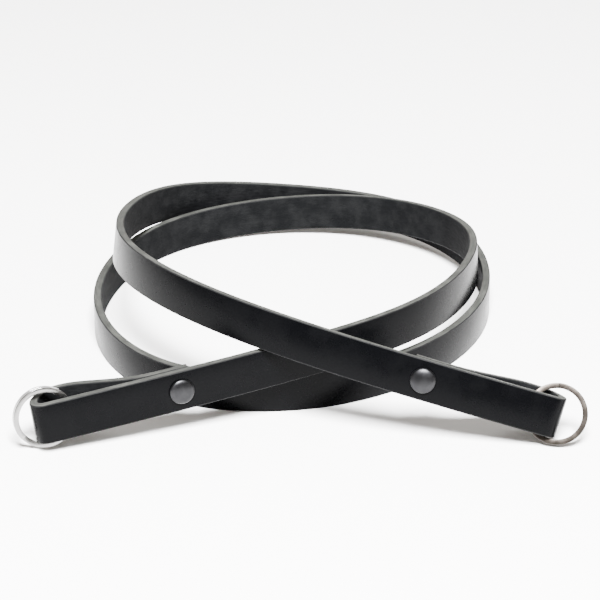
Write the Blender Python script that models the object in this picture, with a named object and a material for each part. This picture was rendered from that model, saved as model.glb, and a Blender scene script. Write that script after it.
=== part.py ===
"""Leather camera strap that stands on its edge, wound into a double loop.

One long strip of leather lies on a flat surface, z = 0, on its lower edge. It is
wound twice round, counterclockwise seen from above, with its smooth grain side
outwards. Its two ends cross in front of the coil and run outwards. Each end is
folded round a steel split ring and riveted back onto itself.

Frame: +X to the right of somebody who looks at the two ends, +Y away from them,
+Z up. The origin lies on the surface, under the middle of the whole strap.
"""

import math

import bmesh
import bpy
import numpy as np
from mathutils import Matrix, Vector

MM = 0.001

# Driving sizes

# The leather strip
STRAP_WIDTH = 16.0 * MM
STRAP_THICKNESS = 3.4 * MM
EDGE_CHAMFER = 0.35 * MM
LAYER_GAP = 0.4 * MM             # between layers that lie on each other

# The coil's plan: the route below gives its places as shares of these
COIL_HALF_WIDTH = 80.0 * MM
COIL_HALF_DEPTH = 90.0 * MM

# The folded ends
FOLD_LENGTH_LEFT = 58.5 * MM     # from the fold's nose to the rivet
FOLD_LENGTH_RIGHT = 54.2 * MM
FOLD_BULGE_LEFT = 15.4 * MM      # layer to layer, middle to middle, at the widest
FOLD_BULGE_RIGHT = 14.6 * MM
TAIL_MARGIN = 0.6 * MM           # tail left beyond the back cap's rim

# The double cap rivets
CAP_RADIUS = 5.0 * MM
BACK_CAP_RADIUS = 4.2 * MM
CAP_HEIGHT = 2.0 * MM
CAP_RIM = 0.5 * MM
POST_RADIUS = 1.5 * MM
HOLE_CLEARANCE = 0.3 * MM
SEAT_CLEARANCE = 0.3 * MM

# The split rings, two turns of flat wire
RING_PLAY = 2.0 * MM             # ring's hole wider than the strap, on each side
WIRE_WIDTH = 2.1 * MM            # along the ring's radius
WIRE_THICKNESS = 1.35 * MM       # along the ring's axis
WIRE_CHAMFER = 0.25 * MM
TURN_GAP = 0.3 * MM
SPLIT_DEG = 62.0                 # the stretch in which the wire steps over
SPLIT_AT_LEFT = -32.0            # where the front turn ends, from straight outwards
SPLIT_AT_RIGHT = 165.0
RING_OUTER_RADIUS = STRAP_WIDTH / 2 + RING_PLAY + WIRE_WIDTH
RING_RADIUS = RING_OUTER_RADIUS - WIRE_WIDTH / 2
RING_HALF_HEIGHT = WIRE_THICKNESS + TURN_GAP / 2

# How each ring stands in its fold
RING_DEPTH_LEFT = 15.9 * MM      # from the nose to the wire's middle inside the fold
RING_DEPTH_RIGHT = 12.0 * MM
RING_BACK_LEFT = 0.42            # share of the bulge from the front layer to the wire
RING_BACK_RIGHT = 0.46
RING_TURN_LEFT = 1.0             # degrees about the hinge line, out of the grain side
RING_TURN_RIGHT = 14.0
RING_TILT_LEFT = 5.0             # degrees, the ring's top leaning back from the strap's
RING_TILT_RIGHT = 10.0
RING_DROP = 0.5 * MM             # the nose hangs this far below the ring's middle
FLOOR_CLEARANCE = 0.3 * MM

# Fineness
ROUTE_STATIONS = 190
FOLD_STATIONS = 44
RING_STEPS = 52                  # per turn
CAP_STEPS = 32

# Tables

# The route of the strip's lower edge, from the left nose to the right one.
# across: share of COIL_HALF_WIDTH.  back: share of COIL_HALF_DEPTH.
# layer: how many layers of leather the strip lies outside that line.
# lift: height of the lower edge above the surface, in strap widths.
# lean: degrees, how far the upper edge leans towards the grain side.
HELD_BY_RING = None
ROUTE_COLUMNS = ("across", "back", "layer", "lift", "lean")
ROUTE = (
    # left end, rising in front of the coil
    (-1.256, -1.580, 0.0, HELD_BY_RING, -7),
    (-0.155, -1.242, 0.0, 0.89, -7),
    (0.560, -0.892, 0.0, 1.21, -6),
    # first turn: raised at the right, down to the surface at the back
    (0.932, -0.317, -0.5, 1.00, -5),
    (0.933, 0.330, -0.6, 0.65, 0),
    (0.502, 0.738, -0.5, 0.35, 9),
    (-0.143, 0.850, -0.5, 0.10, 7),
    (-0.748, 0.577, 0.0, 0.00, 3),
    (-1.060, 0.040, 0.0, 0.00, 0),
    (-1.010, -0.640, 0.0, 0.00, 0),
    # second turn: on the surface in front and at the right
    (-0.625, -1.070, 0.0, 0.00, 0),
    (-0.025, -1.152, 0.0, 0.00, -1),
    (0.605, -0.866, 0.0, 0.00, -1),
    (0.963, -0.293, 0.5, 0.00, -1),
    (0.933, 0.332, 0.6, 0.10, -1),
    (0.568, 0.773, 0.5, 0.15, 1),
    # second turn: rising over the first one at the left
    (-0.088, 0.920, 0.5, 0.30, 2),
    (-0.683, 0.735, 0.0, 0.77, 1),
    (-0.955, 0.230, 0.0, 1.36, -3),
    (-0.930, -0.485, 0.0, 1.94, -9),
    (-0.505, -1.048, 0.0, 2.08, -12),
    # right end, coming down in front of everything
    (0.235, -1.390, 0.0, 1.54, -16),
    (1.245, -1.500, 0.0, HELD_BY_RING, -16),
)

# The fold at each end, from its front layer round the nose to the tail.
# along: distance from the nose, share of the fold's length.
# open: distance from the front layer. Round the nose it is a share of the
# fold's bulge. Along the tail it is a share of what is left to close, until
# the two layers lie on each other.
NOSE_COLUMNS = ("along", "open")
NOSE = (
    (0.117, 0.00),
    (0.060, 0.03),
    (0.030, 0.20),
    (0.042, 0.47),
    (0.085, 0.74),
    (0.160, 0.94),
    (0.250, 1.00),
)
TAIL = (
    (0.350, 0.90),
    (0.470, 0.62),
    (0.600, 0.32),
    (0.730, 0.09),
    (0.850, 0.00),
    (1.000, 0.00),
)

# Materials


def material(name, colour, roughness, metallic=0.0):
    """Make one Principled material."""
    made = bpy.data.materials.new(name)
    made.use_nodes = True
    shader = made.node_tree.nodes["Principled BSDF"]
    shader.inputs["Base Color"].default_value = (*colour, 1.0)
    shader.inputs["Roughness"].default_value = roughness
    shader.inputs["Metallic"].default_value = metallic
    return made


# Curves


def spline(knots, values):
    """Return a function for the natural cubic curve through the values."""
    knots = np.asarray(knots, float)
    values = np.asarray(values, float)
    steps = np.diff(knots)
    slopes = np.diff(values) / steps
    count = len(knots)
    system = np.eye(count)
    right = np.zeros(count)
    for i in range(1, count - 1):
        system[i, i - 1:i + 2] = steps[i - 1], 2 * (steps[i - 1] + steps[i]), steps[i]
        right[i] = 6 * (slopes[i] - slopes[i - 1])
    bends = np.linalg.solve(system, right)

    def at(where):
        where = np.asarray(where, float)
        i = np.clip(np.searchsorted(knots, where) - 1, 0, count - 2)
        low = knots[i + 1] - where
        high = where - knots[i]
        step = steps[i]
        curve = (bends[i] * low**3 + bends[i + 1] * high**3) / (6 * step)
        straight = (values[i] / step - bends[i] * step / 6) * low
        return curve + straight + (values[i + 1] / step - bends[i + 1] * step / 6) * high

    return at


def arc_knots(points):
    """Distances along the smooth curve through the points, one for each."""
    knots = np.concatenate([[0.0], np.cumsum(np.linalg.norm(np.diff(points, axis=0), axis=1))])
    for _ in range(3):
        curves = [spline(knots, points[:, axis]) for axis in range(points.shape[1])]
        fine = np.linspace(0.0, knots[-1], 2400)
        places = np.stack([curve(fine) for curve in curves], axis=1)
        run = np.concatenate([[0.0], np.cumsum(np.linalg.norm(np.diff(places, axis=0), axis=1))])
        knots = np.interp(knots, fine, run)
    return knots


def nose_lift(tilt, lean):
    """Height of the strip's lower edge at a nose that hangs in its standing ring."""
    back = math.radians(tilt - lean)
    middle = RING_OUTER_RADIUS * math.cos(back) + RING_HALF_HEIGHT * math.sin(back)
    return FLOOR_CLEARANCE + middle - RING_DROP - STRAP_WIDTH / 2


class Route:
    """The strip's path between its two noses."""

    def __init__(self):
        column = dict(zip(ROUTE_COLUMNS, zip(*ROUTE)))
        plan = np.stack([column["across"], column["back"]], axis=1)
        plan = plan * (COIL_HALF_WIDTH, COIL_HALF_DEPTH)
        outwards = plan / np.linalg.norm(plan, axis=1)[:, None]
        plan += outwards * np.array(column["layer"])[:, None] * (STRAP_THICKNESS + LAYER_GAP)
        lift = [0.0 if share is HELD_BY_RING else share * STRAP_WIDTH for share in column["lift"]]
        lift[0] = nose_lift(RING_TILT_LEFT, column["lean"][0])
        lift[-1] = nose_lift(RING_TILT_RIGHT, column["lean"][-1])
        self.knots = arc_knots(plan)
        self.length = self.knots[-1]
        self.x = spline(self.knots, plan[:, 0])
        self.y = spline(self.knots, plan[:, 1])
        self.lift = spline(self.knots, lift)
        self.lean = spline(self.knots, np.radians(column["lean"]))

    def edge(self, where):
        """The lower edge's middle. Past a nose the route runs on straight."""
        inside = min(max(where, 0.0), self.length)
        lean = float(self.lean(inside))
        corner = STRAP_THICKNESS / 2 * abs(math.sin(lean))
        height = max(float(self.lift(inside)), 0.0) + corner
        return Vector((float(self.x(inside)), float(self.y(inside)), height))

    def frame(self, where):
        """Point, direction, width direction and grain direction at a distance along the route."""
        step = 0.5 * MM
        inside = min(max(where, step), self.length - step)
        before = self.edge(inside - step)
        after = self.edge(inside + step)
        along = (after - before).normalized()
        lean = float(self.lean(min(max(where, 0.0), self.length)))
        level = along.cross(Vector((0.0, 0.0, 1.0))).normalized()
        upright = level.cross(along).normalized()
        width = (upright * math.cos(lean) + level * math.sin(lean)).normalized()
        grain = along.cross(width).normalized()
        point = self.edge(where)
        if where < 0.0 or where > self.length:
            point = point + along * (where - min(max(where, 0.0), self.length))
        return point + width * STRAP_WIDTH / 2, along, width, grain


# The strip


def fold_curve(length, bulge):
    """Stations of the fold's middle line: distance from the nose, distance from the front layer."""
    closed = STRAP_THICKNESS + LAYER_GAP
    along = [row[0] * length for row in NOSE + TAIL]
    away = [row[1] * bulge for row in NOSE]
    away += [closed + row[1] * (bulge - closed) for row in TAIL]
    along.append(length + BACK_CAP_RADIUS + TAIL_MARGIN)
    away.append(closed)
    points = np.stack([along, away], axis=1)
    knots = arc_knots(points)
    widest = knots[len(NOSE) - 1]
    ahead = spline(knots, points[:, 0])
    aside = spline(knots, points[:, 1])
    stations = []
    # close together round the nose, wider apart along the tail
    for run in knots[-1] * np.linspace(0.0, 1.0, FOLD_STATIONS) ** 1.35:
        least = closed if run > widest else 0.0
        stations.append((float(ahead(run)), max(float(aside(run)), least)))
    return stations


def fold_places(route, length, bulge, from_left):
    """Places and width directions from the front layer round the nose to the tail's end."""
    places = []
    for ahead, aside in fold_curve(length, bulge):
        where = ahead if from_left else route.length - ahead
        point, _, width, grain = route.frame(where)
        places.append((point - grain * aside, width))
    return places


def strip_frames(route):
    """Point, width direction and grain direction along the whole strip, tail to tail."""
    left = fold_places(route, FOLD_LENGTH_LEFT, FOLD_BULGE_LEFT, True)[::-1]
    right = fold_places(route, FOLD_LENGTH_RIGHT, FOLD_BULGE_RIGHT, False)
    start = NOSE[0][0] * FOLD_LENGTH_LEFT
    reach = route.length - start - NOSE[0][0] * FOLD_LENGTH_RIGHT
    middle = []
    for step in range(1, ROUTE_STATIONS):
        point, _, width, _ = route.frame(start + reach * step / ROUTE_STATIONS)
        middle.append((point, width))
    places = left + middle + right
    frames = []
    for i, (point, width) in enumerate(places):
        before = places[max(i - 1, 0)][0]
        after = places[min(i + 1, len(places) - 1)][0]
        along = (after - before).normalized()
        grain = along.cross(width).normalized()
        frames.append((point, grain.cross(along).normalized(), grain))
    return frames


def chamfered_outline(wide, thick, chamfer):
    """A rectangle with cut corners, counterclockwise in (width, grain)."""
    half_w = wide / 2
    half_t = thick / 2
    cut_w = half_w - chamfer
    cut_t = half_t - chamfer
    return [(half_w, -cut_t), (half_w, cut_t), (cut_w, half_t), (-cut_w, half_t),
            (-half_w, cut_t), (-half_w, -cut_t), (-cut_w, -half_t), (cut_w, -half_t)]


def sweep(name, frames, outline, finish):
    """Extrude a closed outline from frame to frame and close both ends."""
    mesh = bpy.data.meshes.new(name)
    made = bmesh.new()
    point, wide, out = frames[0]
    ring = [made.verts.new(point + wide * a + out * b) for a, b in outline]
    count = len(ring)
    edges = [made.edges.new((ring[i], ring[(i + 1) % count])) for i in range(count)]
    first = made.faces.new(ring)
    for point, wide, out in frames[1:]:
        grown = bmesh.ops.extrude_edge_only(made, edges=edges)["geom"]
        fresh = {vert for vert in grown if isinstance(vert, bmesh.types.BMVert)}
        following = []
        for vert in ring:
            following.append(next(edge.other_vert(vert) for edge in vert.link_edges
                                  if edge.other_vert(vert) in fresh))
        for vert, (a, b) in zip(following, outline):
            vert.co = point + wide * a + out * b
        ring = following
        edges = [made.edges.get((ring[i], ring[(i + 1) % count])) for i in range(count)]
    made.faces.new(ring)
    first.normal_update()
    bmesh.ops.recalc_face_normals(made, faces=made.faces)
    made.to_mesh(mesh)
    made.free()
    mesh.materials.append(finish)
    mesh.shade_smooth()
    mesh.set_sharp_from_angle(angle=math.radians(32))
    piece = bpy.data.objects.new(name, mesh)
    bpy.context.scene.collection.objects.link(piece)
    return piece


# Rivets


def turned(name, profile, finish):
    """Spin a profile of (radius, height) round Z into a closed body."""
    mesh = bpy.data.meshes.new(name)
    made = bmesh.new()
    verts = [made.verts.new((radius, 0.0, height)) for radius, height in profile]
    edges = [made.edges.new(pair) for pair in zip(verts, verts[1:])]
    bmesh.ops.spin(made, geom=verts + edges, axis=(0, 0, 1), cent=(0, 0, 0), dvec=(0, 0, 0),
                   angle=math.tau, steps=CAP_STEPS, use_merge=True)
    bmesh.ops.remove_doubles(made, verts=made.verts, dist=1e-6)
    bmesh.ops.recalc_face_normals(made, faces=made.faces)
    made.to_mesh(mesh)
    made.free()
    mesh.materials.append(finish)
    mesh.shade_smooth()
    mesh.set_sharp_from_angle(angle=math.radians(35))
    piece = bpy.data.objects.new(name, mesh)
    bpy.context.scene.collection.objects.link(piece)
    return piece


def dome(radius, height, rim, bands=6):
    """Points of a domed cap's outside, from its middle to the bottom of its rim."""
    points = []
    for band in range(bands + 1):
        angle = math.pi / 2 * band / bands
        points.append((radius * math.sin(angle), rim + (height - rim) * math.cos(angle)))
    points.append((radius, 0.0))
    return points


def rivet(side, place, front, back, metal):
    """A cap with its post on the front layer, and a cap that grips the post on the tail.

    place has +Z along the rivet, out of the grain side. front and back are the
    heights of the two outer leather faces.
    """
    seat = front + SEAT_CLEARANCE
    far_seat = back - SEAT_CLEARANCE
    grip = CAP_HEIGHT / 2
    post_end = far_seat - grip + HOLE_CLEARANCE
    front_profile = [(r, seat + z) for r, z in dome(CAP_RADIUS, CAP_HEIGHT, CAP_RIM)]
    front_profile += [(POST_RADIUS, seat), (POST_RADIUS, post_end), (0.0, post_end)]
    front_cap = turned("rivet_cap_" + side, front_profile, metal)
    socket = POST_RADIUS + HOLE_CLEARANCE
    back_profile = [(r, far_seat - z) for r, z in dome(BACK_CAP_RADIUS, CAP_HEIGHT, CAP_RIM)]
    back_profile += [(socket, far_seat), (socket, far_seat - grip), (0.0, far_seat - grip)]
    back_cap = turned("rivet_back_" + side, back_profile, metal)
    for piece in (front_cap, back_cap):
        piece.matrix_world = place
    return front_cap, back_cap


def punch(strap, side, place, front, back):
    """Cut the rivet's hole through both layers of leather."""
    mesh = bpy.data.meshes.new("hole_" + side)
    made = bmesh.new()
    depth = front - back + 2 * CAP_HEIGHT
    radius = POST_RADIUS + HOLE_CLEARANCE
    bmesh.ops.create_cone(made, cap_ends=True, segments=24, radius1=radius, radius2=radius,
                          depth=depth, matrix=Matrix.Translation((0, 0, (front + back) / 2)))
    made.to_mesh(mesh)
    made.free()
    cutter = bpy.data.objects.new("hole_" + side, mesh)
    bpy.context.scene.collection.objects.link(cutter)
    cutter.matrix_world = place
    cutter.hide_render = True
    cutter.display_type = "WIRE"
    cut = strap.modifiers.new("hole_" + side, "BOOLEAN")
    cut.operation = "DIFFERENCE"
    cut.solver = "EXACT"
    cut.object = cutter


# Split rings


def split_ring_frames(split_at):
    """Frames of the flat wire round local Z: a flat turn, a step and another flat turn."""
    spacing = WIRE_THICKNESS + TURN_GAP
    flat = 360.0 - SPLIT_DEG
    whole = 2 * flat + SPLIT_DEG
    steps = round(RING_STEPS * whole / 360)
    up = Vector((0.0, 0.0, 1.0))
    frames = []
    for step in range(steps + 1):
        passed = whole * step / steps
        share = min(max((passed - flat) / SPLIT_DEG, 0.0), 1.0)
        eased = share * share * (3 - 2 * share)
        angle = math.radians(split_at + passed)
        out = Vector((math.cos(angle), math.sin(angle), 0.0))
        frames.append((out * RING_RADIUS + up * spacing * (eased - 0.5), out, up))
    return frames


def hinge(route, from_left, depth, away):
    """The line in the fold's opening on which the ring swings.

    Returns a matrix with its origin on the line, +Z up along the strap's width
    and +X towards the nose.
    """
    where = depth if from_left else route.length - depth
    point, along, width, grain = route.frame(where)
    outward = -along if from_left else along
    axes = Matrix((outward, width.cross(outward), width)).transposed().to_4x4()
    return Matrix.Translation(point - grain * away) @ axes


def split_ring(side, route, from_left, depth, away, turn, tilt, split_at, metal):
    """A split ring through the fold, parented to an empty on its hinge line."""
    axis = hinge(route, from_left, depth, away)
    outline = chamfered_outline(WIRE_WIDTH, WIRE_THICKNESS, WIRE_CHAMFER)
    ring = sweep("split_ring_" + side, split_ring_frames(split_at), outline, metal)
    flip = 1.0 if from_left else -1.0
    # the wire's plane is stood up, leant back and turned out on the hinge line
    stand = Matrix.Rotation(math.radians(90.0), 4, "X")
    lean = Matrix.Rotation(math.radians(tilt) * flip, 4, "X")
    swing = Matrix.Rotation(math.radians(turn) * flip, 4, "Z")
    pose = swing @ Matrix.Translation((RING_RADIUS, 0.0, 0.0)) @ lean @ stand
    # the ring slides down the fold until it stands on the surface
    lowest = min((axis @ pose @ vert.co).z for vert in ring.data.vertices)
    width = axis.col[2].to_3d()
    slide = Matrix.Translation(width * (FLOOR_CLEARANCE - lowest) / width.z)
    axle = bpy.data.objects.new("hinge_" + side, None)
    axle.empty_display_size = STRAP_WIDTH
    bpy.context.scene.collection.objects.link(axle)
    axle.matrix_world = slide @ axis
    ring.parent = axle
    ring.matrix_local = pose
    return axle


# Assembly


def clear_scene():
    """Remove whatever the scene holds."""
    for thing in list(bpy.data.objects):
        bpy.data.objects.remove(thing, do_unlink=True)


def rivet_place(route, from_left):
    """Where a rivet goes through the layers: +Z out of the front layer's grain side."""
    where = FOLD_LENGTH_LEFT if from_left else route.length - FOLD_LENGTH_RIGHT
    point, along, width, grain = route.frame(where)
    axes = Matrix((along, grain.cross(along), grain)).transposed().to_4x4()
    return Matrix.Translation(point) @ axes


def centre(roots):
    """Move everything so that the whole strap's box is centred on the origin."""
    bpy.context.view_layer.update()
    low = Vector((math.inf,) * 3)
    high = Vector((-math.inf,) * 3)
    for thing in bpy.context.scene.objects:
        if thing.type != "MESH" or thing.hide_render:
            continue
        for vert in thing.data.vertices:
            place = thing.matrix_world @ vert.co
            low = Vector(map(min, low, place))
            high = Vector(map(max, high, place))
    middle = (low + high) / 2
    shift = Matrix.Translation((-middle.x, -middle.y, -low.z))
    for root in roots:
        root.matrix_world = shift @ root.matrix_world


def main():
    """Build the strap, its rivets and its rings."""
    clear_scene()
    leather = material("black_leather", (0.022, 0.022, 0.024), 0.42)
    gunmetal = material("gunmetal", (0.20, 0.19, 0.185), 0.38, 1.0)
    steel = material("nickel_steel", (0.62, 0.60, 0.57), 0.30, 1.0)
    route = Route()
    strap = sweep("strap", strip_frames(route),
                  chamfered_outline(STRAP_WIDTH, STRAP_THICKNESS, EDGE_CHAMFER), leather)
    roots = [strap]
    front = STRAP_THICKNESS / 2
    back = -STRAP_THICKNESS / 2 - LAYER_GAP - STRAP_THICKNESS
    ends = (
        ("left", True, RING_DEPTH_LEFT, RING_BACK_LEFT * FOLD_BULGE_LEFT,
         RING_TURN_LEFT, RING_TILT_LEFT, SPLIT_AT_LEFT),
        ("right", False, RING_DEPTH_RIGHT, RING_BACK_RIGHT * FOLD_BULGE_RIGHT,
         RING_TURN_RIGHT, RING_TILT_RIGHT, SPLIT_AT_RIGHT),
    )
    for side, from_left, *ring_sizes in ends:
        place = rivet_place(route, from_left)
        roots += rivet(side, place, front, back, gunmetal)
        punch(strap, side, place, front, back)
        roots.append(split_ring(side, route, from_left, *ring_sizes, steel))
    cutters = [thing for thing in bpy.context.scene.objects if thing.hide_render]
    centre(roots + cutters)
    print("strap length", round(route.length / MM, 1), "mm nose to nose")


if __name__ == "__main__":
    main()
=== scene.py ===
"""Dressed model of a leather camera strap, wound into a double loop on its edge.

The strip, its rivets and its split rings are made again from the same sizes as the
solids, with finer outlines, rounded edges and real finishes. Everything is in metres,
in the solids' own frame, with +Z up and the surface at z = 0.
"""

from __future__ import annotations

import logging
import math
from dataclasses import dataclass, field
from enum import Enum
from typing import Callable

import bmesh
import bpy
import numpy as np
from mathutils import Matrix, Vector


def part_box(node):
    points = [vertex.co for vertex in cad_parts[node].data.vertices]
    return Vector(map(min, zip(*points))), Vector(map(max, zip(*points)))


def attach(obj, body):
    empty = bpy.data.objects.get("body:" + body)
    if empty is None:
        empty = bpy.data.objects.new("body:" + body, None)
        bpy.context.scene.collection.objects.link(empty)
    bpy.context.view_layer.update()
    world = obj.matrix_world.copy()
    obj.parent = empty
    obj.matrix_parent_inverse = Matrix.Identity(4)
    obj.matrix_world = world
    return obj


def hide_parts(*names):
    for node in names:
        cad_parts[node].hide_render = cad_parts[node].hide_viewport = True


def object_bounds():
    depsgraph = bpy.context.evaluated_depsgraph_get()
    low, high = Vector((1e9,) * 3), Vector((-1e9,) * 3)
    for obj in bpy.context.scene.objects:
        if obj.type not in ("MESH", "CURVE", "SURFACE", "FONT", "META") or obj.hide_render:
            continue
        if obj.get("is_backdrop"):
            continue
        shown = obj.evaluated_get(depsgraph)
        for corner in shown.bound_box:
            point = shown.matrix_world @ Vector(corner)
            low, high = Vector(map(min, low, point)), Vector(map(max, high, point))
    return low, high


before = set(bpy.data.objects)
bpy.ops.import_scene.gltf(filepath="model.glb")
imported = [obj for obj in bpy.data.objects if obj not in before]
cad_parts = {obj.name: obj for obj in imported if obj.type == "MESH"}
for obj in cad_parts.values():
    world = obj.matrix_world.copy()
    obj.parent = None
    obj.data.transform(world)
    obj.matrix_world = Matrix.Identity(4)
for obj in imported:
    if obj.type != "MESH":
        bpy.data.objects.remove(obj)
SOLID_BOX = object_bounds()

LOG = logging.getLogger("camera_strap")
MM = 0.001
Colour = tuple[float, float, float]
Outline = list[tuple[float, float]]


class End(Enum):
    """The strap's two ends, as seen from the front."""

    LEFT = "left"
    RIGHT = "right"

    @property
    def flip(self) -> float:
        """Which way turns count at this end."""
        return 1.0 if self is End.LEFT else -1.0


class Face(Enum):
    """The strip's three kinds of surface, by material index."""

    GRAIN = 0
    FLESH = 1
    CUT_EDGE = 2


# Node helpers


def link(tree: bpy.types.NodeTree, source: bpy.types.NodeSocket, target: bpy.types.NodeSocket) -> None:
    """Join two sockets."""
    tree.links.new(source, target)


def noise(
    tree: bpy.types.NodeTree,
    place: bpy.types.NodeSocket,
    scale: float,
    detail: float = 4.0,
    roughness: float = 0.5,
) -> bpy.types.NodeSocket:
    """Add a noise texture.

    Args:
        tree: Node tree to add it to.
        place: Coordinates it reads.
        scale: Features per metre.
        detail: Octaves.
        roughness: Strength of the finer octaves.

    Returns:
        The noise's value, about 0.5 on average.
    """
    made = tree.nodes.new("ShaderNodeTexNoise")
    made.inputs["Scale"].default_value = scale
    made.inputs["Detail"].default_value = detail
    made.inputs["Roughness"].default_value = roughness
    link(tree, place, made.inputs["Vector"])
    return made.outputs["Fac"]


def stretched(
    tree: bpy.types.NodeTree, place: bpy.types.NodeSocket, scale: tuple[float, float, float]
) -> bpy.types.NodeSocket:
    """Add a mapping that scales the coordinates and return its output."""
    made = tree.nodes.new("ShaderNodeMapping")
    made.inputs["Scale"].default_value = scale
    link(tree, place, made.inputs["Vector"])
    return made.outputs["Vector"]


def remap(
    tree: bpy.types.NodeTree,
    value: bpy.types.NodeSocket,
    low: float,
    high: float,
    to_low: float,
    to_high: float,
) -> bpy.types.NodeSocket:
    """Add a smooth clamped remap.

    Args:
        tree: Node tree to add it to.
        value: Value to remap.
        low: Value that becomes to_low.
        high: Value that becomes to_high.
        to_low: Result at low.
        to_high: Result at high.

    Returns:
        The remapped value.
    """
    made = tree.nodes.new("ShaderNodeMapRange")
    made.interpolation_type = "SMOOTHSTEP"
    made.inputs["From Min"].default_value = low
    made.inputs["From Max"].default_value = high
    made.inputs["To Min"].default_value = to_low
    made.inputs["To Max"].default_value = to_high
    link(tree, value, made.inputs["Value"])
    return made.outputs["Result"]


def reckon(
    tree: bpy.types.NodeTree,
    operation: str,
    first: bpy.types.NodeSocket | float,
    second: bpy.types.NodeSocket | float,
) -> bpy.types.NodeSocket:
    """Add a math node on two sockets or numbers.

    Args:
        tree: Node tree to add it to.
        operation: The math node's operation.
        first: First socket or number.
        second: Second socket or number.

    Returns:
        The result.
    """
    made = tree.nodes.new("ShaderNodeMath")
    made.operation = operation
    for slot, value in enumerate((first, second)):
        if isinstance(value, (int, float)):
            made.inputs[slot].default_value = value
        else:
            link(tree, value, made.inputs[slot])
    return made.outputs["Value"]


def blend_colours(
    tree: bpy.types.NodeTree,
    share: bpy.types.NodeSocket,
    first: Colour | bpy.types.NodeSocket,
    second: Colour | bpy.types.NodeSocket,
) -> bpy.types.NodeSocket:
    """Add a colour mix.

    Args:
        tree: Node tree to add it to.
        share: How much of the second colour shows.
        first: Colour or socket at share 0.
        second: Colour or socket at share 1.

    Returns:
        The mixed colour.
    """
    made = tree.nodes.new("ShaderNodeMix")
    made.data_type = "RGBA"
    link(tree, share, made.inputs[0])
    for slot, colour in ((6, first), (7, second)):
        if isinstance(colour, tuple):
            made.inputs[slot].default_value = (*colour, 1.0)
        else:
            link(tree, colour, made.inputs[slot])
    return made.outputs[2]


def new_group(name: str, inputs: dict[str, tuple[str, float]], outputs: dict[str, str]) -> bpy.types.NodeTree:
    """Make an empty shader node group.

    Args:
        name: The group's name.
        inputs: Socket type and default by input name. A vector's default isn't used.
        outputs: Socket type by output name.

    Returns:
        The group, with its input and output nodes named Inputs and Outputs.
    """
    group = bpy.data.node_groups.new(name, "ShaderNodeTree")
    for label, (kind, default) in inputs.items():
        made = group.interface.new_socket(name=label, in_out="INPUT", socket_type=kind)
        if kind == "NodeSocketFloat":
            made.default_value = default
    for label, kind in outputs.items():
        group.interface.new_socket(name=label, in_out="OUTPUT", socket_type=kind)
    group.nodes.new("NodeGroupInput").name = "Inputs"
    group.nodes.new("NodeGroupOutput").name = "Outputs"
    return group


def place_group(
    tree: bpy.types.NodeTree,
    group: bpy.types.NodeTree,
    place: bpy.types.NodeSocket,
    values: dict[str, float],
) -> bpy.types.Node:
    """Put a node group in a material.

    Args:
        tree: The material's node tree.
        group: The group to place.
        place: Coordinates for its Place input.
        values: Values for its other inputs.

    Returns:
        The group's node.
    """
    made = tree.nodes.new("ShaderNodeGroup")
    made.node_tree = group
    link(tree, place, made.inputs["Place"])
    for label, value in values.items():
        made.inputs[label].default_value = value
    return made


# Effects that several finishes use


def handling_marks() -> bpy.types.NodeTree:
    """Make the group for the uneven shine that years of handling leave.

    Returns:
        A group with a Place vector, a Spread in features per metre and an Amount. Its
        Shine output is an offset for the roughness and its Rub output a mask from 0 to 1.
    """
    group = new_group(
        "handling marks",
        {"Place": ("NodeSocketVector", 0.0), "Spread": ("NodeSocketFloat", 60.0),
         "Amount": ("NodeSocketFloat", 0.1)},
        {"Shine": "NodeSocketFloat", "Rub": "NodeSocketFloat"},
    )
    inside = group.nodes["Inputs"].outputs
    broad = group.nodes.new("ShaderNodeTexNoise")
    broad.inputs["Detail"].default_value = 5.0
    broad.inputs["Roughness"].default_value = 0.62
    link(group, inside["Place"], broad.inputs["Vector"])
    link(group, inside["Spread"], broad.inputs["Scale"])
    rub = remap(group, broad.outputs["Fac"], 0.38, 0.66, 0.0, 1.0)
    centred = reckon(group, "SUBTRACT", rub, 0.5)
    shine = reckon(group, "MULTIPLY", centred, inside["Amount"])
    link(group, shine, group.nodes["Outputs"].inputs["Shine"])
    link(group, rub, group.nodes["Outputs"].inputs["Rub"])
    return group


def fine_grain() -> bpy.types.NodeTree:
    """Make the group for a fine irregular relief, of leather pores or brushed metal.

    Returns:
        A group with a Place vector, a Scale in features per metre and a Coarse share. Its
        Height output is the relief from 0 to 1.
    """
    group = new_group(
        "fine grain",
        {"Place": ("NodeSocketVector", 0.0), "Scale": ("NodeSocketFloat", 1500.0),
         "Coarse": ("NodeSocketFloat", 0.4)},
        {"Height": "NodeSocketFloat"},
    )
    inside = group.nodes["Inputs"].outputs
    cells = group.nodes.new("ShaderNodeTexVoronoi")
    cells.feature = "SMOOTH_F1"
    cells.inputs["Smoothness"].default_value = 0.6
    link(group, inside["Place"], cells.inputs["Vector"])
    link(group, inside["Scale"], cells.inputs["Scale"])
    rough = group.nodes.new("ShaderNodeTexNoise")
    rough.inputs["Detail"].default_value = 6.0
    rough.inputs["Roughness"].default_value = 0.6
    link(group, inside["Place"], rough.inputs["Vector"])
    tenth = reckon(group, "MULTIPLY", inside["Scale"], 0.22)
    link(group, tenth, rough.inputs["Scale"])
    fine = reckon(group, "MULTIPLY", cells.outputs["Distance"], 0.7)
    wide = reckon(group, "MULTIPLY", rough.outputs["Fac"], inside["Coarse"])
    link(group, reckon(group, "ADD", fine, wide), group.nodes["Outputs"].inputs["Height"])
    return group


@dataclass
class Effects:
    """The node groups that the finishes share."""

    marks: bpy.types.NodeTree = field(default_factory=handling_marks)
    grain: bpy.types.NodeTree = field(default_factory=fine_grain)


# Finishes


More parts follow.
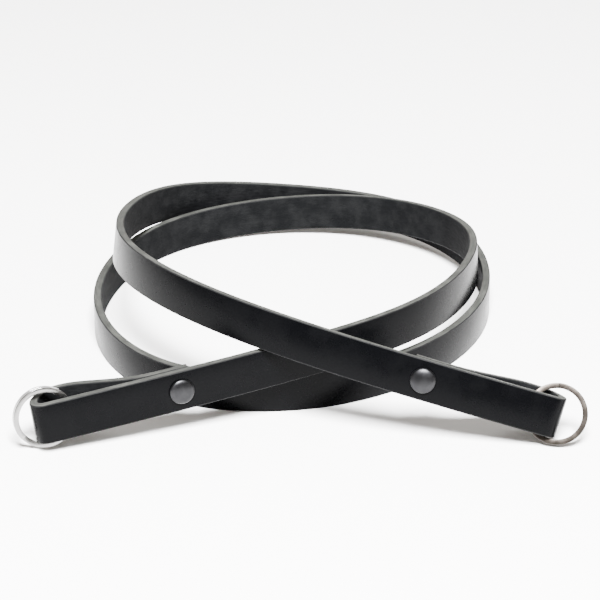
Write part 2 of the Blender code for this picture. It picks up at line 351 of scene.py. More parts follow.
@dataclass(frozen=True)
class Finish:
    """What every finish has: a name and how its surface takes the light."""

    name: str
    colour: Colour
    worn_colour: Colour
    roughness: float
    uneven_shine: float
    relief: float                # height of the relief, in metres

    def start(self) -> tuple[bpy.types.Material, bpy.types.NodeTree, bpy.types.Node]:
        """Make the material and return it with its tree and its shader."""
        made = bpy.data.materials.new(self.name)
        made.use_nodes = True
        tree = made.node_tree
        return made, tree, tree.nodes["Principled BSDF"]

    def raise_relief(
        self, tree: bpy.types.NodeTree, shader: bpy.types.Node, height: bpy.types.NodeSocket
    ) -> None:
        """Feed a height from 0 to 1 to the shader's normal.

        Args:
            tree: The material's node tree.
            shader: Its shader.
            height: The relief.
        """
        bump = tree.nodes.new("ShaderNodeBump")
        bump.inputs["Strength"].default_value = 1.0
        bump.inputs["Distance"].default_value = self.relief
        link(tree, height, bump.inputs["Height"])
        link(tree, bump.outputs["Normal"], shader.inputs["Normal"])


@dataclass(frozen=True)
class GrainLeather(Finish):
    """The smooth, dyed and waxed outer side of the leather."""

    pore_scale: float = 1500.0
    sheen_level: float = 0.028

    def material(self, effects: Effects) -> bpy.types.Material:
        """Make the material.

        Args:
            effects: The shared node groups.

        Returns:
            The grain side's material.
        """
        made, tree, shader = self.start()
        place = tree.nodes.new("ShaderNodeTexCoord").outputs["Object"]
        marks = place_group(tree, effects.marks, place, {"Spread": 75.0, "Amount": self.uneven_shine})
        pores = place_group(tree, effects.grain, place, {"Scale": self.pore_scale, "Coarse": 0.5})
        colour = blend_colours(tree, marks.outputs["Rub"], self.colour, self.worn_colour)
        link(tree, colour, shader.inputs["Base Color"])
        shine = reckon(tree, "ADD", marks.outputs["Shine"], self.roughness)
        link(tree, shine, shader.inputs["Roughness"])
        shader.inputs["Specular IOR Level"].default_value = self.sheen_level
        self.raise_relief(tree, shader, pores.outputs["Height"])
        return made


@dataclass(frozen=True)
class FleshLeather(Finish):
    """The matt, fibrous inner side of the leather."""

    fibre_scale: float = 900.0

    def material(self, effects: Effects) -> bpy.types.Material:
        """Make the material.

        Args:
            effects: The shared node groups.

        Returns:
            The flesh side's material.
        """
        made, tree, shader = self.start()
        place = tree.nodes.new("ShaderNodeTexCoord").outputs["UV"]
        marks = place_group(tree, effects.marks, place, {"Spread": 130.0, "Amount": self.uneven_shine})
        along = stretched(tree, place, (0.3, 1.0, 1.0))
        fibres = place_group(tree, effects.grain, along, {"Scale": self.fibre_scale, "Coarse": 0.9})
        colour = blend_colours(tree, marks.outputs["Rub"], self.colour, self.worn_colour)
        link(tree, colour, shader.inputs["Base Color"])
        shine = reckon(tree, "ADD", marks.outputs["Shine"], self.roughness)
        link(tree, shine, shader.inputs["Roughness"])
        shader.inputs["Specular IOR Level"].default_value = 0.03
        self.raise_relief(tree, shader, fibres.outputs["Height"])
        return made


@dataclass(frozen=True)
class CutLeather(Finish):
    """The bare cut edge: grey fibres between two dark dyed skins."""

    thickness: float = 3.4 * MM
    skin: float = 0.36 * MM
    skin_colour: Colour = (0.003, 0.003, 0.0032)

    def material(self, effects: Effects) -> bpy.types.Material:
        """Make the material. It reads the strip's own UV map, in metres.

        Args:
            effects: The shared node groups.

        Returns:
            The cut edge's material.
        """
        made, tree, shader = self.start()
        place = tree.nodes.new("ShaderNodeTexCoord").outputs["UV"]
        along = stretched(tree, place, (0.16, 1.0, 1.0))
        fibres = place_group(tree, effects.grain, along, {"Scale": 1300.0, "Coarse": 1.0})
        marks = place_group(tree, effects.marks, place, {"Spread": 110.0, "Amount": self.uneven_shine})
        core = blend_colours(tree, marks.outputs["Rub"], self.colour, self.worn_colour)
        streaks = remap(tree, noise(tree, along, 900.0, 3.0), 0.35, 0.7, 0.0, 0.55)
        streaked = blend_colours(tree, streaks, core, tuple(c * 0.5 for c in self.colour))
        split = tree.nodes.new("ShaderNodeSeparateXYZ")
        link(tree, place, split.inputs["Vector"])
        wander = remap(tree, noise(tree, place, 260.0, 3.0), 0.3, 0.7, -0.25 * self.skin, 0.25 * self.skin)
        centred = reckon(tree, "SUBTRACT", split.outputs["Y"], self.thickness / 2)
        away = reckon(tree, "ADD", reckon(tree, "ABSOLUTE", centred, 0.0), wander)
        edge = self.thickness / 2 - self.skin
        skin = remap(tree, away, edge - 0.15 * MM, edge + 0.22 * MM, 0.0, 1.0)
        link(tree, blend_colours(tree, skin, streaked, self.skin_colour), shader.inputs["Base Color"])
        shine = reckon(tree, "ADD", marks.outputs["Shine"], self.roughness)
        link(tree, shine, shader.inputs["Roughness"])
        shader.inputs["Specular IOR Level"].default_value = 0.1
        self.raise_relief(tree, shader, fibres.outputs["Height"])
        return made


@dataclass(frozen=True)
class SatinMetal(Finish):
    """Plated metal with a satin surface and faint rubbing."""

    brush_scale: float = 1600.0

    def material(self, effects: Effects) -> bpy.types.Material:
        """Make the material.

        Args:
            effects: The shared node groups.

        Returns:
            The metal's material.
        """
        made, tree, shader = self.start()
        place = tree.nodes.new("ShaderNodeTexCoord").outputs["Object"]
        marks = place_group(tree, effects.marks, place, {"Spread": 260.0, "Amount": self.uneven_shine})
        brushed = place_group(tree, effects.grain, place, {"Scale": self.brush_scale, "Coarse": 0.8})
        colour = blend_colours(tree, marks.outputs["Rub"], self.colour, self.worn_colour)
        link(tree, colour, shader.inputs["Base Color"])
        shine = reckon(tree, "ADD", marks.outputs["Shine"], self.roughness)
        link(tree, shine, shader.inputs["Roughness"])
        shader.inputs["Metallic"].default_value = 1.0
        self.raise_relief(tree, shader, brushed.outputs["Height"])
        return made


GRAIN_SIDE = GrainLeather("grain side leather", (0.0006, 0.00064, 0.0008), (0.0009, 0.00094, 0.0011),
                          0.28, 0.06, 0.010 * MM)
FLESH_SIDE = FleshLeather("flesh side leather", (0.0016, 0.0017, 0.0019), (0.0038, 0.0039, 0.0041),
                          0.85, 0.08, 0.26 * MM)
CUT_SIDE = CutLeather("cut leather edge", (0.021, 0.0215, 0.0195), (0.036, 0.0365, 0.033),
                      0.74, 0.12, 0.16 * MM)
RIVET_METAL = SatinMetal("gunmetal rivet", (0.016, 0.016, 0.017), (0.020, 0.020, 0.021),
                         0.36, 0.06, 0.004 * MM)
# Both split rings are the same nickel-plated steel, given as lit and shaded copies of one finish. The left
# ring's lighter colour is a painted bright reflection. The right ring's much darker colour is a painted dark
# reflection.
RING_PAINTED_BRIGHT_REFLECTION = SatinMetal("split ring, painted bright reflection", (0.19, 0.187, 0.184), (0.23, 0.226, 0.223),
                         0.24, 0.06, 0.003 * MM)
RING_PAINTED_DARK_REFLECTION = SatinMetal("split ring, painted dark reflection", (0.034, 0.029, 0.025), (0.045, 0.039, 0.034),
                       0.34, 0.08, 0.003 * MM)


# Curves


def spline(knots: np.ndarray, values: np.ndarray) -> Callable[[float | np.ndarray], np.ndarray]:
    """Make the natural cubic curve through some values.

    Args:
        knots: Rising places of the values.
        values: The values.

    Returns:
        A function from place to value.
    """
    knots = np.asarray(knots, float)
    values = np.asarray(values, float)
    steps = np.diff(knots)
    slopes = np.diff(values) / steps
    count = len(knots)
    system = np.eye(count)
    right = np.zeros(count)
    for i in range(1, count - 1):
        system[i, i - 1:i + 2] = steps[i - 1], 2 * (steps[i - 1] + steps[i]), steps[i]
        right[i] = 6 * (slopes[i] - slopes[i - 1])
    bends = np.linalg.solve(system, right)

    def at(where: float | np.ndarray) -> np.ndarray:
        """Give the curve's value at a place."""
        where = np.asarray(where, float)
        i = np.clip(np.searchsorted(knots, where) - 1, 0, count - 2)
        low = knots[i + 1] - where
        high = where - knots[i]
        step = steps[i]
        curve = (bends[i] * low**3 + bends[i + 1] * high**3) / (6 * step)
        straight = (values[i] / step - bends[i] * step / 6) * low
        return curve + straight + (values[i + 1] / step - bends[i + 1] * step / 6) * high

    return at


def arc_knots(points: np.ndarray) -> np.ndarray:
    """Measure the distances along the smooth curve through some points.

    Args:
        points: One row per point.

    Returns:
        The distance of each point from the first, along the curve.
    """
    knots = np.concatenate([[0.0], np.cumsum(np.linalg.norm(np.diff(points, axis=0), axis=1))])
    for _ in range(3):
        curves = [spline(knots, points[:, axis]) for axis in range(points.shape[1])]
        fine = np.linspace(0.0, knots[-1], 2400)
        places = np.stack([curve(fine) for curve in curves], axis=1)
        run = np.concatenate([[0.0], np.cumsum(np.linalg.norm(np.diff(places, axis=0), axis=1))])
        knots = np.interp(knots, fine, run)
    return knots


@dataclass(frozen=True)
class RoutePlace:
    """One place on the strip's way, as shares of the coil's and the strip's sizes."""

    across: float                # share of the coil's half width
    back: float                  # share of the coil's half depth
    layer: float                 # layers of leather outside that line
    lift: float | None           # lower edge above the surface in strap widths, None at a ring
    lean: float                  # degrees, the upper edge towards the grain side


ROUTE = (
    RoutePlace(-1.256, -1.580, 0.0, None, -7),
    RoutePlace(-0.155, -1.242, 0.0, 0.89, -7),
    RoutePlace(0.560, -0.892, 0.0, 1.21, -6),
    RoutePlace(0.932, -0.317, -0.5, 1.00, -5),
    RoutePlace(0.933, 0.330, -0.6, 0.65, 0),
    RoutePlace(0.502, 0.738, -0.5, 0.35, 9),
    RoutePlace(-0.143, 0.850, -0.5, 0.10, 7),
    RoutePlace(-0.748, 0.577, 0.0, 0.00, 3),
    RoutePlace(-1.060, 0.040, 0.0, 0.00, 0),
    RoutePlace(-1.010, -0.640, 0.0, 0.00, 0),
    RoutePlace(-0.625, -1.070, 0.0, 0.00, 0),
    RoutePlace(-0.025, -1.152, 0.0, 0.00, -1),
    RoutePlace(0.605, -0.866, 0.0, 0.00, -1),
    RoutePlace(0.963, -0.293, 0.5, 0.00, -1),
    RoutePlace(0.933, 0.332, 0.6, 0.10, -1),
    RoutePlace(0.568, 0.773, 0.5, 0.15, 1),
    RoutePlace(-0.088, 0.920, 0.5, 0.30, 2),
    RoutePlace(-0.683, 0.735, 0.0, 0.77, 1),
    RoutePlace(-0.955, 0.230, 0.0, 1.36, -3),
    RoutePlace(-0.930, -0.485, 0.0, 1.94, -9),
    RoutePlace(-0.505, -1.048, 0.0, 2.08, -12),
    RoutePlace(0.235, -1.390, 0.0, 1.54, -16),
    RoutePlace(1.245, -1.500, 0.0, None, -16),
)

# The fold's line, as (along, open): a share of the fold's length from the nose, and how
# far open it is, round the nose as a share of the bulge and along the tail of the rest.
NOSE = ((0.117, 0.00), (0.060, 0.03), (0.030, 0.20), (0.042, 0.47), (0.085, 0.74),
        (0.160, 0.94), (0.250, 1.00))
TAIL = ((0.350, 0.90), (0.470, 0.62), (0.600, 0.32), (0.730, 0.09), (0.850, 0.00), (1.000, 0.00))


# Mesh helpers


@dataclass(frozen=True)
class Station:
    """A place on a swept piece: where its middle is and how its outline is turned."""

    point: Vector
    wide: Vector
    out: Vector


def rounded_outline(wide: float, thick: float, radius: float, steps: int) -> Outline:
    """Make a rectangle with rounded corners.

    Args:
        wide: Size along the first axis.
        thick: Size along the second axis.
        radius: Corner radius.
        steps: Faces round each corner.

    Returns:
        Its points, counterclockwise, from the lower end of the first long side.
    """
    points: Outline = []
    for turn, (side, level) in enumerate(((1, 1), (-1, 1), (-1, -1), (1, -1))):
        middle = (side * (wide / 2 - radius), level * (thick / 2 - radius))
        for step in range(steps + 1):
            angle = math.pi / 2 * (turn + step / steps)
            points.append((middle[0] + radius * math.cos(angle), middle[1] + radius * math.sin(angle)))
    return points


def swept(stations: list[Station], outline: Outline) -> tuple[bmesh.types.BMesh, list[list[bmesh.types.BMVert]]]:
    """Extrude a closed outline from station to station and close both ends.

    Args:
        stations: Places of the outline.
        outline: Points as distances along each station's two directions.

    Returns:
        The body, with faces that point outwards, and its rings of vertices in order.
    """
    made = bmesh.new()
    first = stations[0]
    ring = [made.verts.new(first.point + first.wide * a + first.out * b) for a, b in outline]
    count = len(ring)
    edges = [made.edges.new((ring[i], ring[(i + 1) % count])) for i in range(count)]
    made.faces.new(ring)
    rings = [ring]
    for station in stations[1:]:
        grown = bmesh.ops.extrude_edge_only(made, edges=edges)["geom"]
        fresh = {vert for vert in grown if isinstance(vert, bmesh.types.BMVert)}
        following = []
        for vert in ring:
            following.append(next(edge.other_vert(vert) for edge in vert.link_edges
                                  if edge.other_vert(vert) in fresh))
        for vert, (a, b) in zip(following, outline):
            vert.co = station.point + station.wide * a + station.out * b
        ring = following
        rings.append(ring)
        edges = [made.edges.get((ring[i], ring[(i + 1) % count])) for i in range(count)]
    made.faces.new(ring)
    bmesh.ops.recalc_face_normals(made, faces=made.faces)
    return made, rings


def settle(
    name: str, made: bmesh.types.BMesh, node: str, body: str,
    finishes: list[bpy.types.Material], sharp: float = 32.0,
) -> bpy.types.Object:
    """Turn a finished bmesh into a piece that stands for a CAD node.

    Args:
        name: The piece's name.
        made: Its mesh, in place but for the shift that centres the solids.
        node: The CAD node that it replaces.
        body: The CAD body that it moves with.
        finishes: Its materials.
        sharp: Edges sharper than this many degrees stay sharp.

    Returns:
        The piece.
    """
    low, high = (Vector(corner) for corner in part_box(node))
    places = np.array([vert.co for vert in made.verts])
    middle = Vector((places.min(axis=0) + places.max(axis=0)) / 2)
    bmesh.ops.translate(made, verts=made.verts, vec=(low + high) / 2 - middle)
    mesh = bpy.data.meshes.new(name)
    made.to_mesh(mesh)
    made.free()
    for finish in finishes:
        mesh.materials.append(finish)
    mesh.shade_smooth()
    mesh.set_sharp_from_angle(angle=math.radians(sharp))
    piece = bpy.data.objects.new(name, mesh)
    bpy.context.scene.collection.objects.link(piece)
    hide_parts(node)
    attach(piece, body)
    LOG.info("%s: %d faces, moves with %s", name, len(mesh.polygons), body)
    return piece


# The strap


@dataclass
class LeatherStrap:
    """The strip of leather, folded round a ring at each end."""

    width: float = 16.0 * MM
    thickness: float = 3.4 * MM
    corner: float = 0.42 * MM
    corner_steps: int = 3
    layer_gap: float = 0.4 * MM
    coil_half_width: float = 80.0 * MM
    coil_half_depth: float = 90.0 * MM
    fold_length: dict[End, float] = field(default_factory=lambda: {End.LEFT: 58.5 * MM, End.RIGHT: 54.2 * MM})
    fold_bulge: dict[End, float] = field(default_factory=lambda: {End.LEFT: 15.4 * MM, End.RIGHT: 14.6 * MM})
    tail_beyond: float = 4.8 * MM         # tail past the rivet's middle
    nose_height: dict[End, float] = field(default_factory=dict)
    route_stations: int = 620
    fold_stations: int = 110

    def __post_init__(self) -> None:
        """Lay the strip's way."""
        plan = np.array([(place.across * self.coil_half_width, place.back * self.coil_half_depth)
                         for place in ROUTE])
        outwards = plan / np.linalg.norm(plan, axis=1)[:, None]
        layers = np.array([place.layer for place in ROUTE])[:, None]
        plan = plan + outwards * layers * (self.thickness + self.layer_gap)
        lift = [0.0 if place.lift is None else place.lift * self.width for place in ROUTE]
        lift[0] = self.nose_height[End.LEFT]
        lift[-1] = self.nose_height[End.RIGHT]
        knots = arc_knots(plan)
        self.length = float(knots[-1])
        self.x = spline(knots, plan[:, 0])
        self.y = spline(knots, plan[:, 1])
        self.lift = spline(knots, np.array(lift))
        self.lean = spline(knots, np.radians([place.lean for place in ROUTE]))

    def edge(self, where: float) -> Vector:
        """Find the middle of the lower edge.

        Args:
            where: Distance from the left nose.

        Returns:
            The point.
        """
        inside = min(max(where, 0.0), self.length)
        corner = self.thickness / 2 * abs(math.sin(float(self.lean(inside))))
        height = max(float(self.lift(inside)), 0.0) + corner
        return Vector((float(self.x(inside)), float(self.y(inside)), height))

    def along(self, where: float) -> tuple[Vector, Vector, Vector, Vector]:
        """Find how the strip lies at a distance from the left nose.

        Args:
            where: Distance from the left nose. Past a nose the way runs on straight.

        Returns:
            The middle point, and the directions along, across the width and out of the grain.
        """
        step = 0.5 * MM
        inside = min(max(where, step), self.length - step)
        ahead = (self.edge(inside + step) - self.edge(inside - step)).normalized()
        lean = float(self.lean(min(max(where, 0.0), self.length)))
        level = ahead.cross(Vector((0.0, 0.0, 1.0))).normalized()
        upright = level.cross(ahead).normalized()
        width = (upright * math.cos(lean) + level * math.sin(lean)).normalized()
        grain = ahead.cross(width).normalized()
        point = self.edge(where) + ahead * (where - min(max(where, 0.0), self.length))
        return point + width * self.width / 2, ahead, width, grain

    def from_nose(self, end: End, distance: float) -> float:
        """Give the place on the way at a distance from one end's nose."""
        return distance if end is End.LEFT else self.length - distance

    def fold(self, end: End) -> list[tuple[Vector, Vector]]:
        """Lay the fold at one end, from its front layer round the nose to the tail's end.

        Args:
            end: Which end.

        Returns:
            Points on the strip's middle and width directions.
        """
        length = self.fold_length[end]
        bulge = self.fold_bulge[end]
        closed = self.thickness + self.layer_gap
        ahead = [share * length for share, _ in NOSE + TAIL] + [length + self.tail_beyond]
        away = [share * bulge for _, share in NOSE]
        away += [closed + share * (bulge - closed) for _, share in TAIL] + [closed]
        points = np.stack([ahead, away], axis=1)
        knots = arc_knots(points)
        widest = knots[len(NOSE) - 1]
        run_ahead = spline(knots, points[:, 0])
        run_away = spline(knots, points[:, 1])
        places = []
        for run in knots[-1] * np.linspace(0.0, 1.0, self.fold_stations) ** 1.2:
            aside = max(float(run_away(run)), closed if run > widest else 0.0)
            point, _, width, grain = self.along(self.from_nose(end, float(run_ahead(run))))
            places.append((point - grain * aside, width))
        return places

    def stations(self) -> list[Station]:
        """Lay the whole strip, tail to tail.

        Returns:
            Its stations in order.
        """
        start = NOSE[0][0] * self.fold_length[End.LEFT]
        reach = self.length - start - NOSE[0][0] * self.fold_length[End.RIGHT]
        places = self.fold(End.LEFT)[::-1]
        for step in range(1, self.route_stations):
            point, _, width, _ = self.along(start + reach * step / self.route_stations)
            places.append((point, width))
        places += self.fold(End.RIGHT)
        laid = []
        for i, (point, width) in enumerate(places):
            before = places[max(i - 1, 0)][0]
            after = places[min(i + 1, len(places) - 1)][0]
            ahead = (after - before).normalized()
            grain = ahead.cross(width).normalized()
            laid.append(Station(point, grain.cross(ahead).normalized(), grain))
        return laid

    def mark_faces(self, made: bmesh.types.BMesh, rings: list[list[bmesh.types.BMVert]],
                   stations: list[Station], outline: Outline) -> None:
        """Give every face its kind of surface and its place on the leather, in metres.

        Args:
            made: The strip.
            rings: Its rings of vertices.
            stations: Its stations.
            outline: Its outline.
        """
        strip = made.loops.layers.uv.new("strip")
        spot: dict[bmesh.types.BMVert, tuple[float, float, float]] = {}
        run = 0.0
        for k, ring in enumerate(rings):
            if k:
                run += (stations[k].point - stations[k - 1].point).length
            for vert, (a, b) in zip(ring, outline):
                spot[vert] = (run, a, b)
        flat = self.thickness / 2 - 1e-6
        for face in made.faces:
            spots = [spot[loop.vert] for loop in face.loops]
            if all(b > flat for _, _, b in spots):
                kind = Face.GRAIN
            elif all(b < -flat for _, _, b in spots):
                kind = Face.FLESH
            else:
                kind = Face.CUT_EDGE
            face.material_index = kind.value
            is_end = len(spots) > 4
            for loop, (place, a, b) in zip(face.loops, spots):
                first = a if is_end else place
                second = b + self.thickness / 2 if kind is Face.CUT_EDGE else a + self.width / 2
                loop[strip].uv = (first, second)

    def build(self, effects: Effects) -> bpy.types.Object:
        """Make the strap.

        Args:
            effects: The shared node groups.

        Returns:
            The strap's piece.
        """
        outline = rounded_outline(self.width, self.thickness, self.corner, self.corner_steps)
        stations = self.stations()
        made, rings = swept(stations, outline)
        self.mark_faces(made, rings, stations, outline)
        finishes = [GRAIN_SIDE.material(effects), FLESH_SIDE.material(effects), CUT_SIDE.material(effects)]
        return settle("strap_leather", made, "strap", "strap_body", finishes)


# Rivets


@dataclass
class CapRivet:
    """A double cap rivet through the two layers of one fold."""

    end: End
    place: Matrix                         # +Z along the rivet, out of the grain side
    front: float                          # height of the front leather face
    back: float                           # height of the tail's leather face
    cap_radius: float = 5.0 * MM
    back_radius: float = 4.2 * MM
    height: float = 2.0 * MM
    rim: float = 0.5 * MM
    rim_radius: float = 0.16 * MM
    post_radius: float = 1.5 * MM
    clearance: float = 0.3 * MM
    steps: int = 96
    bands: int = 18

    def dome(self, radius: float) -> Outline:
        """Draw half of a cap's section, from its middle to the foot of its rounded rim.

        Args:
            radius: The cap's radius.

        Returns:
            Points as radius and height above the seat.
        """
        points: Outline = []
        for band in range(self.bands + 1):
            angle = math.pi / 2 * band / self.bands
            points.append((radius * math.sin(angle), self.rim + (self.height - self.rim) * math.cos(angle)))
        for band in range(4):
            angle = math.pi / 2 * band / 3
            points.append((radius - self.rim_radius * (1 - math.cos(angle)),
                           self.rim_radius * (1 - math.sin(angle))))
        return points

    def turned(self, profile: Outline) -> bmesh.types.BMesh:
        """Spin a section round the rivet's axis.

        Args:
            profile: Points as radius and height, both ends on the axis.

        Returns:
            The closed body, in place.
        """
        made = bmesh.new()
        verts = [made.verts.new((radius, 0.0, height)) for radius, height in profile]
        edges = [made.edges.new(pair) for pair in zip(verts, verts[1:])]
        bmesh.ops.spin(made, geom=verts + edges, axis=(0, 0, 1), cent=(0, 0, 0), dvec=(0, 0, 0),
                       angle=math.tau, steps=self.steps, use_merge=True)
        bmesh.ops.remove_doubles(made, verts=made.verts, dist=1e-6)
        bmesh.ops.recalc_face_normals(made, faces=made.faces)
        bmesh.ops.transform(made, matrix=self.place, verts=made.verts)
        return made

    def build(self, metal: bpy.types.Material) -> list[bpy.types.Object]:
        """Make the front cap with its post, and the back cap.

        Args:
            metal: Their material.

        Returns:
            The two pieces.
        """
        side = self.end.value
        seat = self.front + self.clearance
        far_seat = self.back - self.clearance
        grip = self.height / 2
        post_end = far_seat - grip + self.clearance
        socket = self.post_radius + self.clearance
        front = [(r, seat + z) for r, z in self.dome(self.cap_radius)]
        front += [(self.post_radius, seat), (self.post_radius, post_end), (0.0, post_end)]
        back = [(r, far_seat - z) for r, z in self.dome(self.back_radius)]
        back += [(socket, far_seat), (socket, far_seat - grip), (0.0, far_seat - grip)]
        return [
            settle(f"rivet_cap_dressed_{side}", self.turned(front), f"rivet_cap_{side}", "strap_body",
                   [metal], 40.0),
            settle(f"rivet_back_dressed_{side}", self.turned(back), f"rivet_back_{side}", "strap_body",
                   [metal], 40.0),
        ]


# Split rings


@dataclass
class SplitRing:
    """A split ring of flat wire in two turns, standing in one fold."""

    end: End
    depth: float                          # from the nose to the wire's middle in the fold
    back: float                           # share of the bulge from the front layer
    turn: float                           # degrees about the hinge line, out of the grain side
    tilt: float                           # degrees, the top leaning back from the strap's
    split_at: float                       # where the front turn ends
    wire_width: float = 2.1 * MM
    wire_thickness: float = 1.35 * MM
    wire_corner: float = 0.2 * MM
    wire_corner_steps: int = 4
    play: float = 2.0 * MM
    turn_gap: float = 0.3 * MM
    split: float = 62.0                   # degrees in which the wire steps over
    drop: float = 0.5 * MM
    clearance: float = 0.3 * MM
    steps: int = 132                      # per turn

    def outer_radius(self, strap_width: float) -> float:
        """Give the ring's outer radius for a strap."""
        return strap_width / 2 + self.play + self.wire_width

    def nose_height(self, strap_width: float, lean: float) -> float:
        """Find how high the strip's lower edge hangs at the nose.

        Args:
            strap_width: The strap's width.
            lean: The strip's lean at the nose, in degrees.

        Returns:
            Height of the lower edge above the surface.
        """
        back = math.radians(self.tilt - lean)
        half = self.wire_thickness + self.turn_gap / 2
        middle = self.outer_radius(strap_width) * math.cos(back) + half * math.sin(back)
        return self.clearance + middle - self.drop - strap_width / 2

    def coil(self, radius: float) -> list[Station]:
        """Lay the wire round its own axis: a flat turn, a step and another flat turn.

        Args:
            radius: Radius of the wire's middle.

        Returns:
            The wire's stations.
        """
        spacing = self.wire_thickness + self.turn_gap
        flat = 360.0 - self.split
        whole = 2 * flat + self.split
        steps = round(self.steps * whole / 360)
        up = Vector((0.0, 0.0, 1.0))
        laid = []
        for step in range(steps + 1):
            passed = whole * step / steps
            share = min(max((passed - flat) / self.split, 0.0), 1.0)
            eased = share * share * (3 - 2 * share)
            angle = math.radians(self.split_at + passed)
            out = Vector((math.cos(angle), math.sin(angle), 0.0))
            laid.append(Station(out * radius + up * spacing * (eased - 0.5), out, up))
        return laid

    def build(self, strap: LeatherStrap, metal: bpy.types.Material) -> bpy.types.Object:
        """Make the ring.

        Args:
            strap: The strap in whose fold it stands.
            metal: Its material.

        Returns:
            The ring's piece.
        """
        radius = self.outer_radius(strap.width) - self.wire_width / 2
        outline = rounded_outline(self.wire_width, self.wire_thickness, self.wire_corner,
                                  self.wire_corner_steps)
        made, rings = swept(self.coil(radius), outline)
        ends = [face for face in made.faces if len(face.verts) > 4]
        rims = list({edge for face in ends for edge in face.edges})
        bmesh.ops.bevel(made, geom=rims, offset=0.12 * MM, offset_type="OFFSET", affect="EDGES",
                        segments=2, profile=0.5, material=-1)
        bmesh.ops.recalc_face_normals(made, faces=made.faces)
        point, ahead, width, grain = strap.along(strap.from_nose(self.end, self.depth))
        outward = -ahead if self.end is End.LEFT else ahead
        axes = Matrix((outward, width.cross(outward), width)).transposed().to_4x4()
        hinge = Matrix.Translation(point - grain * self.back * strap.fold_bulge[self.end]) @ axes
        stand = Matrix.Rotation(math.radians(90.0), 4, "X")
        lean = Matrix.Rotation(math.radians(self.tilt) * self.end.flip, 4, "X")
        swing = Matrix.Rotation(math.radians(self.turn) * self.end.flip, 4, "Z")
        pose = hinge @ swing @ Matrix.Translation((radius, 0.0, 0.0)) @ lean @ stand
        bmesh.ops.transform(made, matrix=pose, verts=made.verts)
        side = self.end.value
        return settle(f"split_ring_dressed_{side}", made, f"split_ring_{side}", f"ring_{side}",
                      [metal])


# Studio


@dataclass
class Studio:
    """The pale floor and the soft lights."""

    floor_size: float = 12.0
    floor_colour: Colour = (0.86, 0.855, 0.845)
    surround: Colour = (1.0, 0.95, 0.89)
    dark_room: Colour = (0.46, 0.43, 0.40)
    surround_strength: float = 1.3
    key_size: float = 0.5
    key_distance: float = 1.5
    key_elevation: float = 58.0
    key_bearing: float = 4.0              # degrees to the right of straight in front
    key_power: float = 300.0
    key_colour: Colour = (0.985, 0.99, 1.0)
    back_power: float = 5.0

    def floor(self) -> None:
        """Lay the floor just under the strap."""
        made = bmesh.new()
        bmesh.ops.create_grid(made, x_segments=1, y_segments=1, size=self.floor_size / 2)
        bmesh.ops.translate(made, verts=made.verts, vec=(0.0, 0.0, -0.05 * MM))
        mesh = bpy.data.meshes.new("floor")
        made.to_mesh(mesh)
        made.free()
        paint = bpy.data.materials.new("matt white floor")
        paint.use_nodes = True
        shader = paint.node_tree.nodes["Principled BSDF"]
        shader.inputs["Base Color"].default_value = (*self.floor_colour, 1.0)
        shader.inputs["Roughness"].default_value = 0.9
        shader.inputs["Specular IOR Level"].default_value = 0.1
        mesh.materials.append(paint)
        piece = bpy.data.objects.new("floor", mesh)
        bpy.context.scene.collection.objects.link(piece)
        piece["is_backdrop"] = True

    def light(self, name: str, size: float, power: float, colour: Colour,
              bearing: float, elevation: float, distance: float) -> None:
        """Hang a square soft light that points at the strap.

        Args:
            name: Its name.
            size: Its side.
            power: Its power in watts.
            colour: Its colour.
            bearing: Degrees to the right of straight in front.
            elevation: Degrees above the floor.
            distance: Distance from the strap's middle.
        """
        data = bpy.data.lights.new(name, "AREA")
        data.shape = "SQUARE"
        data.size = size
        data.energy = power
        data.color = colour
        lamp = bpy.data.objects.new(name, data)
        turn = math.radians(bearing)
        rise = math.radians(elevation)
        away = Vector((math.sin(turn) * math.cos(rise), -math.cos(turn) * math.cos(rise), math.sin(rise)))
        lamp.matrix_world = (Matrix.Translation(away * distance)
                             @ away.to_track_quat("Z", "Y").to_matrix().to_4x4())
        bpy.context.scene.collection.objects.link(lamp)
        lamp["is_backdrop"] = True

    def build(self) -> None:
        """Make the floor, the lights and the surround."""
        self.floor()
        self.light("key light", self.key_size, self.key_power, self.key_colour,
                   self.key_bearing, self.key_elevation, self.key_distance)
        self.light("back light", 1.2, self.back_power, (1.0, 1.0, 1.0), 180.0, 50.0, 1.6)
        world = bpy.data.worlds.new("white surround")
        world.use_nodes = True
        tree = world.node_tree
        shader = tree.nodes["Background"]
        shader.inputs["Strength"].default_value = self.surround_strength
        facing = tree.nodes.new("ShaderNodeSeparateXYZ")
        link(tree, tree.nodes.new("ShaderNodeTexCoord").outputs["Generated"], facing.inputs["Vector"])
        behind = remap(tree, facing.outputs["Y"], -0.75, -0.1, 0.0, 1.0)
        low = remap(tree, facing.outputs["Z"], 0.35, 0.9, 1.0, 0.0)
        share = reckon(tree, "MULTIPLY", behind, low)
        link(tree, blend_colours(tree, share, self.dark_room, self.surround), shader.inputs["Color"])
        bpy.context.scene.world = world


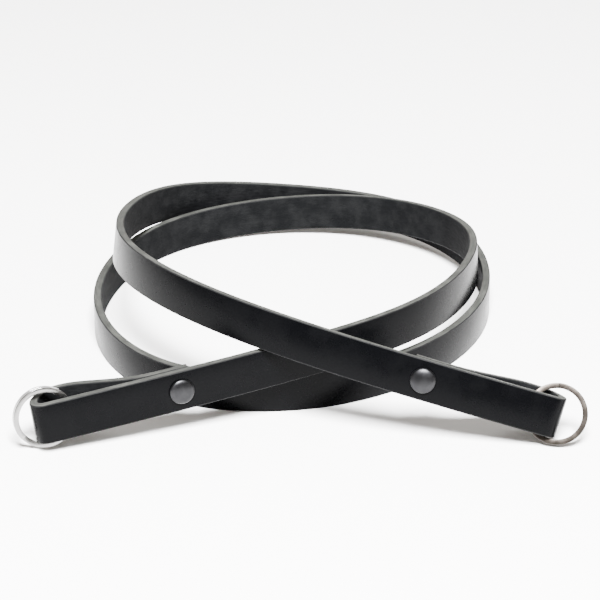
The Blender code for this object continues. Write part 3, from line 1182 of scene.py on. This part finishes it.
@dataclass
class PhotoCamera:
    """The camera at the photograph's place."""

    aim: tuple[float, float, float] = (-0.00072, 0.02761, 0.0)
    elevation: float = 25.0
    distance: float = 0.9733
    roll: float = 0.22                    # degrees
    lens: float = 131.16

    def build(self) -> bpy.types.Object:
        """Make the camera and give it to the scene.

        Returns:
            The camera.
        """
        data = bpy.data.cameras.new("photo camera")
        data.sensor_width = 36.0
        data.lens = self.lens
        data.clip_start = 0.05
        data.clip_end = 50.0
        camera = bpy.data.objects.new("photo camera", data)
        rise = math.radians(self.elevation)
        back = Vector((0.0, -math.cos(rise), math.sin(rise)))
        turned = back.to_track_quat("Z", "Y").to_matrix().to_4x4()
        roll = Matrix.Rotation(math.radians(self.roll), 4, "Z")
        camera.matrix_world = Matrix.Translation(Vector(self.aim) + back * self.distance) @ turned @ roll
        bpy.context.scene.collection.objects.link(camera)
        bpy.context.scene.camera = camera
        return camera


# Assembly


def write_sizes() -> None:
    """Write the solids' box and the dressed model's box for comparison."""
    boxes = {"cad": SOLID_BOX, "visual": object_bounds()}
    for name, (low, high) in boxes.items():
        LOG.info("%s box: %s mm", name, [round(size / MM, 2) for size in high - low])


def main() -> None:
    """Build the strap, its rivets and its rings, then the studio and the camera."""
    logging.basicConfig(level=logging.INFO, format="%(name)s: %(message)s")
    effects = Effects()
    left_ring = SplitRing(End.LEFT, 15.9 * MM, 0.42, 1.0, 5.0, -32.0)
    right_ring = SplitRing(End.RIGHT, 12.0 * MM, 0.46, 14.0, 10.0, 165.0)
    heights = {
        End.LEFT: left_ring.nose_height(LeatherStrap.width, ROUTE[0].lean),
        End.RIGHT: right_ring.nose_height(LeatherStrap.width, ROUTE[-1].lean),
    }
    strap = LeatherStrap(nose_height=heights)
    strap.build(effects)
    rivet_metal = RIVET_METAL.material(effects)
    front = strap.thickness / 2
    back = -strap.thickness / 2 - strap.layer_gap - strap.thickness
    for end in End:
        point, ahead, _, grain = strap.along(strap.from_nose(end, strap.fold_length[end]))
        axes = Matrix((ahead, grain.cross(ahead), grain)).transposed().to_4x4()
        CapRivet(end, Matrix.Translation(point) @ axes, front, back).build(rivet_metal)
    # The left ring gets the copy with the painted bright reflection, and the right ring the copy with the
    # painted dark reflection.
    left_ring.build(strap, RING_PAINTED_BRIGHT_REFLECTION.material(effects))
    right_ring.build(strap, RING_PAINTED_DARK_REFLECTION.material(effects))
    Studio().build()
    PhotoCamera().build()
    write_sizes()


if __name__ == "__main__":
    main()
